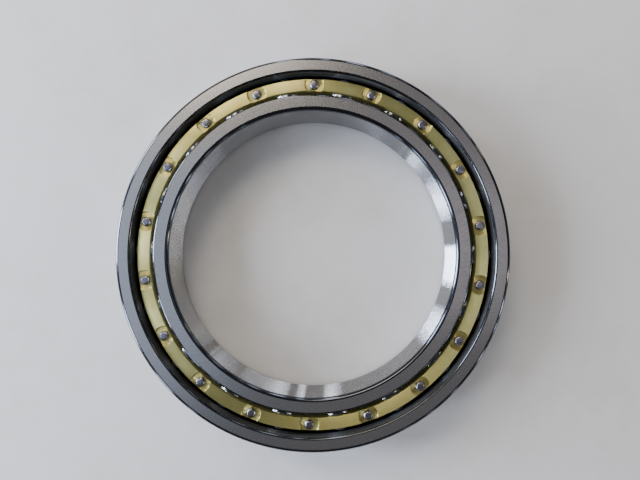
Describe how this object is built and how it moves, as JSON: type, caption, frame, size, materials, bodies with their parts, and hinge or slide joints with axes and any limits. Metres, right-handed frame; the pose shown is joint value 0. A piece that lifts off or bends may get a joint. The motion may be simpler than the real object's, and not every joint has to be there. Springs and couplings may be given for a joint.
{
  "type": "ball bearing",
  "caption": "Single-row ball bearing, thin section, with grooved steel rings and a riveted brass cage round the balls; bore 120 mm, outside 165 mm, width 22 mm.",
  "frame": {"origin": "centre of the bearing: on its axis, halfway between its side faces", "axes": "+Z along the axis, out of the front face; +X through the centre of the first ball"},
  "size_m": [0.165, 0.165, 0.022],
  "materials": {
    "ring_steel": "ground bearing steel, fine curved grinding marks on the side faces",
    "ball_steel": "lapped and polished bearing steel",
    "cage_brass": "satin, turned, with concentric tool marks in the spotfaces",
    "rivet_steel": "cold-headed steel, dull flat top and bright rim"
  },
  "bodies": {
    "outer_ring": {"outer_ring": "ring_steel"},
    "inner_ring": {"inner_ring": "ring_steel"},
    "cage": {"cage_half_front": "cage_brass", "cage_half_back": "cage_brass", "cage_rivet_01": "rivet_steel", "cage_rivet_02": "rivet_steel", "cage_rivet_03": "rivet_steel", "cage_rivet_04": "rivet_steel", "cage_rivet_05": "rivet_steel", "cage_rivet_06": "rivet_steel", "cage_rivet_07": "rivet_steel", "cage_rivet_08": "rivet_steel", "cage_rivet_09": "rivet_steel", "cage_rivet_10": "rivet_steel", "cage_rivet_11": "rivet_steel", "cage_rivet_12": "rivet_steel", "cage_rivet_13": "rivet_steel", "cage_rivet_14": "rivet_steel", "cage_rivet_15": "rivet_steel", "cage_rivet_16": "rivet_steel", "cage_rivet_17": "rivet_steel", "cage_rivet_18": "rivet_steel"},
    "ball_01": {"ball_01": "ball_steel"},
    "ball_02": {"ball_02": "ball_steel"},
    "ball_03": {"ball_03": "ball_steel"},
    "ball_04": {"ball_04": "ball_steel"},
    "ball_05": {"ball_05": "ball_steel"},
    "ball_06": {"ball_06": "ball_steel"},
    "ball_07": {"ball_07": "ball_steel"},
    "ball_08": {"ball_08": "ball_steel"},
    "ball_09": {"ball_09": "ball_steel"},
    "ball_10": {"ball_10": "ball_steel"},
    "ball_11": {"ball_11": "ball_steel"},
    "ball_12": {"ball_12": "ball_steel"},
    "ball_13": {"ball_13": "ball_steel"},
    "ball_14": {"ball_14": "ball_steel"},
    "ball_15": {"ball_15": "ball_steel"},
    "ball_16": {"ball_16": "ball_steel"},
    "ball_17": {"ball_17": "ball_steel"},
    "ball_18": {"ball_18": "ball_steel"}
  },
  "joints": [
    {"name": "inner_ring_spin", "type": "hinge", "parent": "outer_ring", "child": "inner_ring", "pos_m": [0, 0, 0], "axis": [0, 0, 1], "continuous": true},
    {"name": "cage_orbit", "type": "hinge", "parent": "outer_ring", "child": "cage", "pos_m": [0, 0, 0], "axis": [0, 0, 1], "continuous": true},
    {"name": "ball_01_spin", "type": "hinge", "parent": "cage", "child": "ball_01", "pos_m": [0.0715, 0, 0], "axis": [0, 0, 1], "continuous": true},
    {"name": "ball_02_spin", "type": "hinge", "parent": "cage", "child": "ball_02", "pos_m": [0.06719, 0.02445, 0], "axis": [0, 0, 1], "continuous": true},
    {"name": "ball_03_spin", "type": "hinge", "parent": "cage", "child": "ball_03", "pos_m": [0.05477, 0.04596, 0], "axis": [0, 0, 1], "continuous": true},
    {"name": "ball_04_spin", "type": "hinge", "parent": "cage", "child": "ball_04", "pos_m": [0.03575, 0.06192, 0], "axis": [0, 0, 1], "continuous": true},
    {"name": "ball_05_spin", "type": "hinge", "parent": "cage", "child": "ball_05", "pos_m": [0.01242, 0.07041, 0], "axis": [0, 0, 1], "continuous": true},
    {"name": "ball_06_spin", "type": "hinge", "parent": "cage", "child": "ball_06", "pos_m": [-0.01242, 0.07041, 0], "axis": [0, 0, 1], "continuous": true},
    {"name": "ball_07_spin", "type": "hinge", "parent": "cage", "child": "ball_07", "pos_m": [-0.03575, 0.06192, 0], "axis": [0, 0, 1], "continuous": true},
    {"name": "ball_08_spin", "type": "hinge", "parent": "cage", "child": "ball_08", "pos_m": [-0.05477, 0.04596, 0], "axis": [0, 0, 1], "continuous": true},
    {"name": "ball_09_spin", "type": "hinge", "parent": "cage", "child": "ball_09", "pos_m": [-0.06719, 0.02445, 0], "axis": [0, 0, 1], "continuous": true},
    {"name": "ball_10_spin", "type": "hinge", "parent": "cage", "child": "ball_10", "pos_m": [-0.0715, 0, 0], "axis": [0, 0, 1], "continuous": true},
    {"name": "ball_11_spin", "type": "hinge", "parent": "cage", "child": "ball_11", "pos_m": [-0.06719, -0.02445, 0], "axis": [0, 0, 1], "continuous": true},
    {"name": "ball_12_spin", "type": "hinge", "parent": "cage", "child": "ball_12", "pos_m": [-0.05477, -0.04596, 0], "axis": [0, 0, 1], "continuous": true},
    {"name": "ball_13_spin", "type": "hinge", "parent": "cage", "child": "ball_13", "pos_m": [-0.03575, -0.06192, 0], "axis": [0, 0, 1], "continuous": true},
    {"name": "ball_14_spin", "type": "hinge", "parent": "cage", "child": "ball_14", "pos_m": [-0.01242, -0.07041, 0], "axis": [0, 0, 1], "continuous": true},
    {"name": "ball_15_spin", "type": "hinge", "parent": "cage", "child": "ball_15", "pos_m": [0.01242, -0.07041, 0], "axis": [0, 0, 1], "continuous": true},
    {"name": "ball_16_spin", "type": "hinge", "parent": "cage", "child": "ball_16", "pos_m": [0.03575, -0.06192, 0], "axis": [0, 0, 1], "continuous": true},
    {"name": "ball_17_spin", "type": "hinge", "parent": "cage", "child": "ball_17", "pos_m": [0.05477, -0.04596, 0], "axis": [0, 0, 1], "continuous": true},
    {"name": "ball_18_spin", "type": "hinge", "parent": "cage", "child": "ball_18", "pos_m": [0.06719, -0.02445, 0], "axis": [0, 0, 1], "continuous": true}
  ],
  "couplings": [
    {"joint": "cage_orbit", "follows": "inner_ring_spin", "ratio": 0.45282},
    {"joint": "ball_01_spin", "follows": "inner_ring_spin", "ratio": -5.2515},
    {"joint": "ball_02_spin", "follows": "inner_ring_spin", "ratio": -5.2515},
    {"joint": "ball_03_spin", "follows": "inner_ring_spin", "ratio": -5.2515},
    {"joint": "ball_04_spin", "follows": "inner_ring_spin", "ratio": -5.2515},
    {"joint": "ball_05_spin", "follows": "inner_ring_spin", "ratio": -5.2515},
    {"joint": "ball_06_spin", "follows": "inner_ring_spin", "ratio": -5.2515},
    {"joint": "ball_07_spin", "follows": "inner_ring_spin", "ratio": -5.2515},
    {"joint": "ball_08_spin", "follows": "inner_ring_spin", "ratio": -5.2515},
    {"joint": "ball_09_spin", "follows": "inner_ring_spin", "ratio": -5.2515},
    {"joint": "ball_10_spin", "follows": "inner_ring_spin", "ratio": -5.2515},
    {"joint": "ball_11_spin", "follows": "inner_ring_spin", "ratio": -5.2515},
    {"joint": "ball_12_spin", "follows": "inner_ring_spin", "ratio": -5.2515},
    {"joint": "ball_13_spin", "follows": "inner_ring_spin", "ratio": -5.2515},
    {"joint": "ball_14_spin", "follows": "inner_ring_spin", "ratio": -5.2515},
    {"joint": "ball_15_spin", "follows": "inner_ring_spin", "ratio": -5.2515},
    {"joint": "ball_16_spin", "follows": "inner_ring_spin", "ratio": -5.2515},
    {"joint": "ball_17_spin", "follows": "inner_ring_spin", "ratio": -5.2515},
    {"joint": "ball_18_spin", "follows": "inner_ring_spin", "ratio": -5.2515}
  ]
}
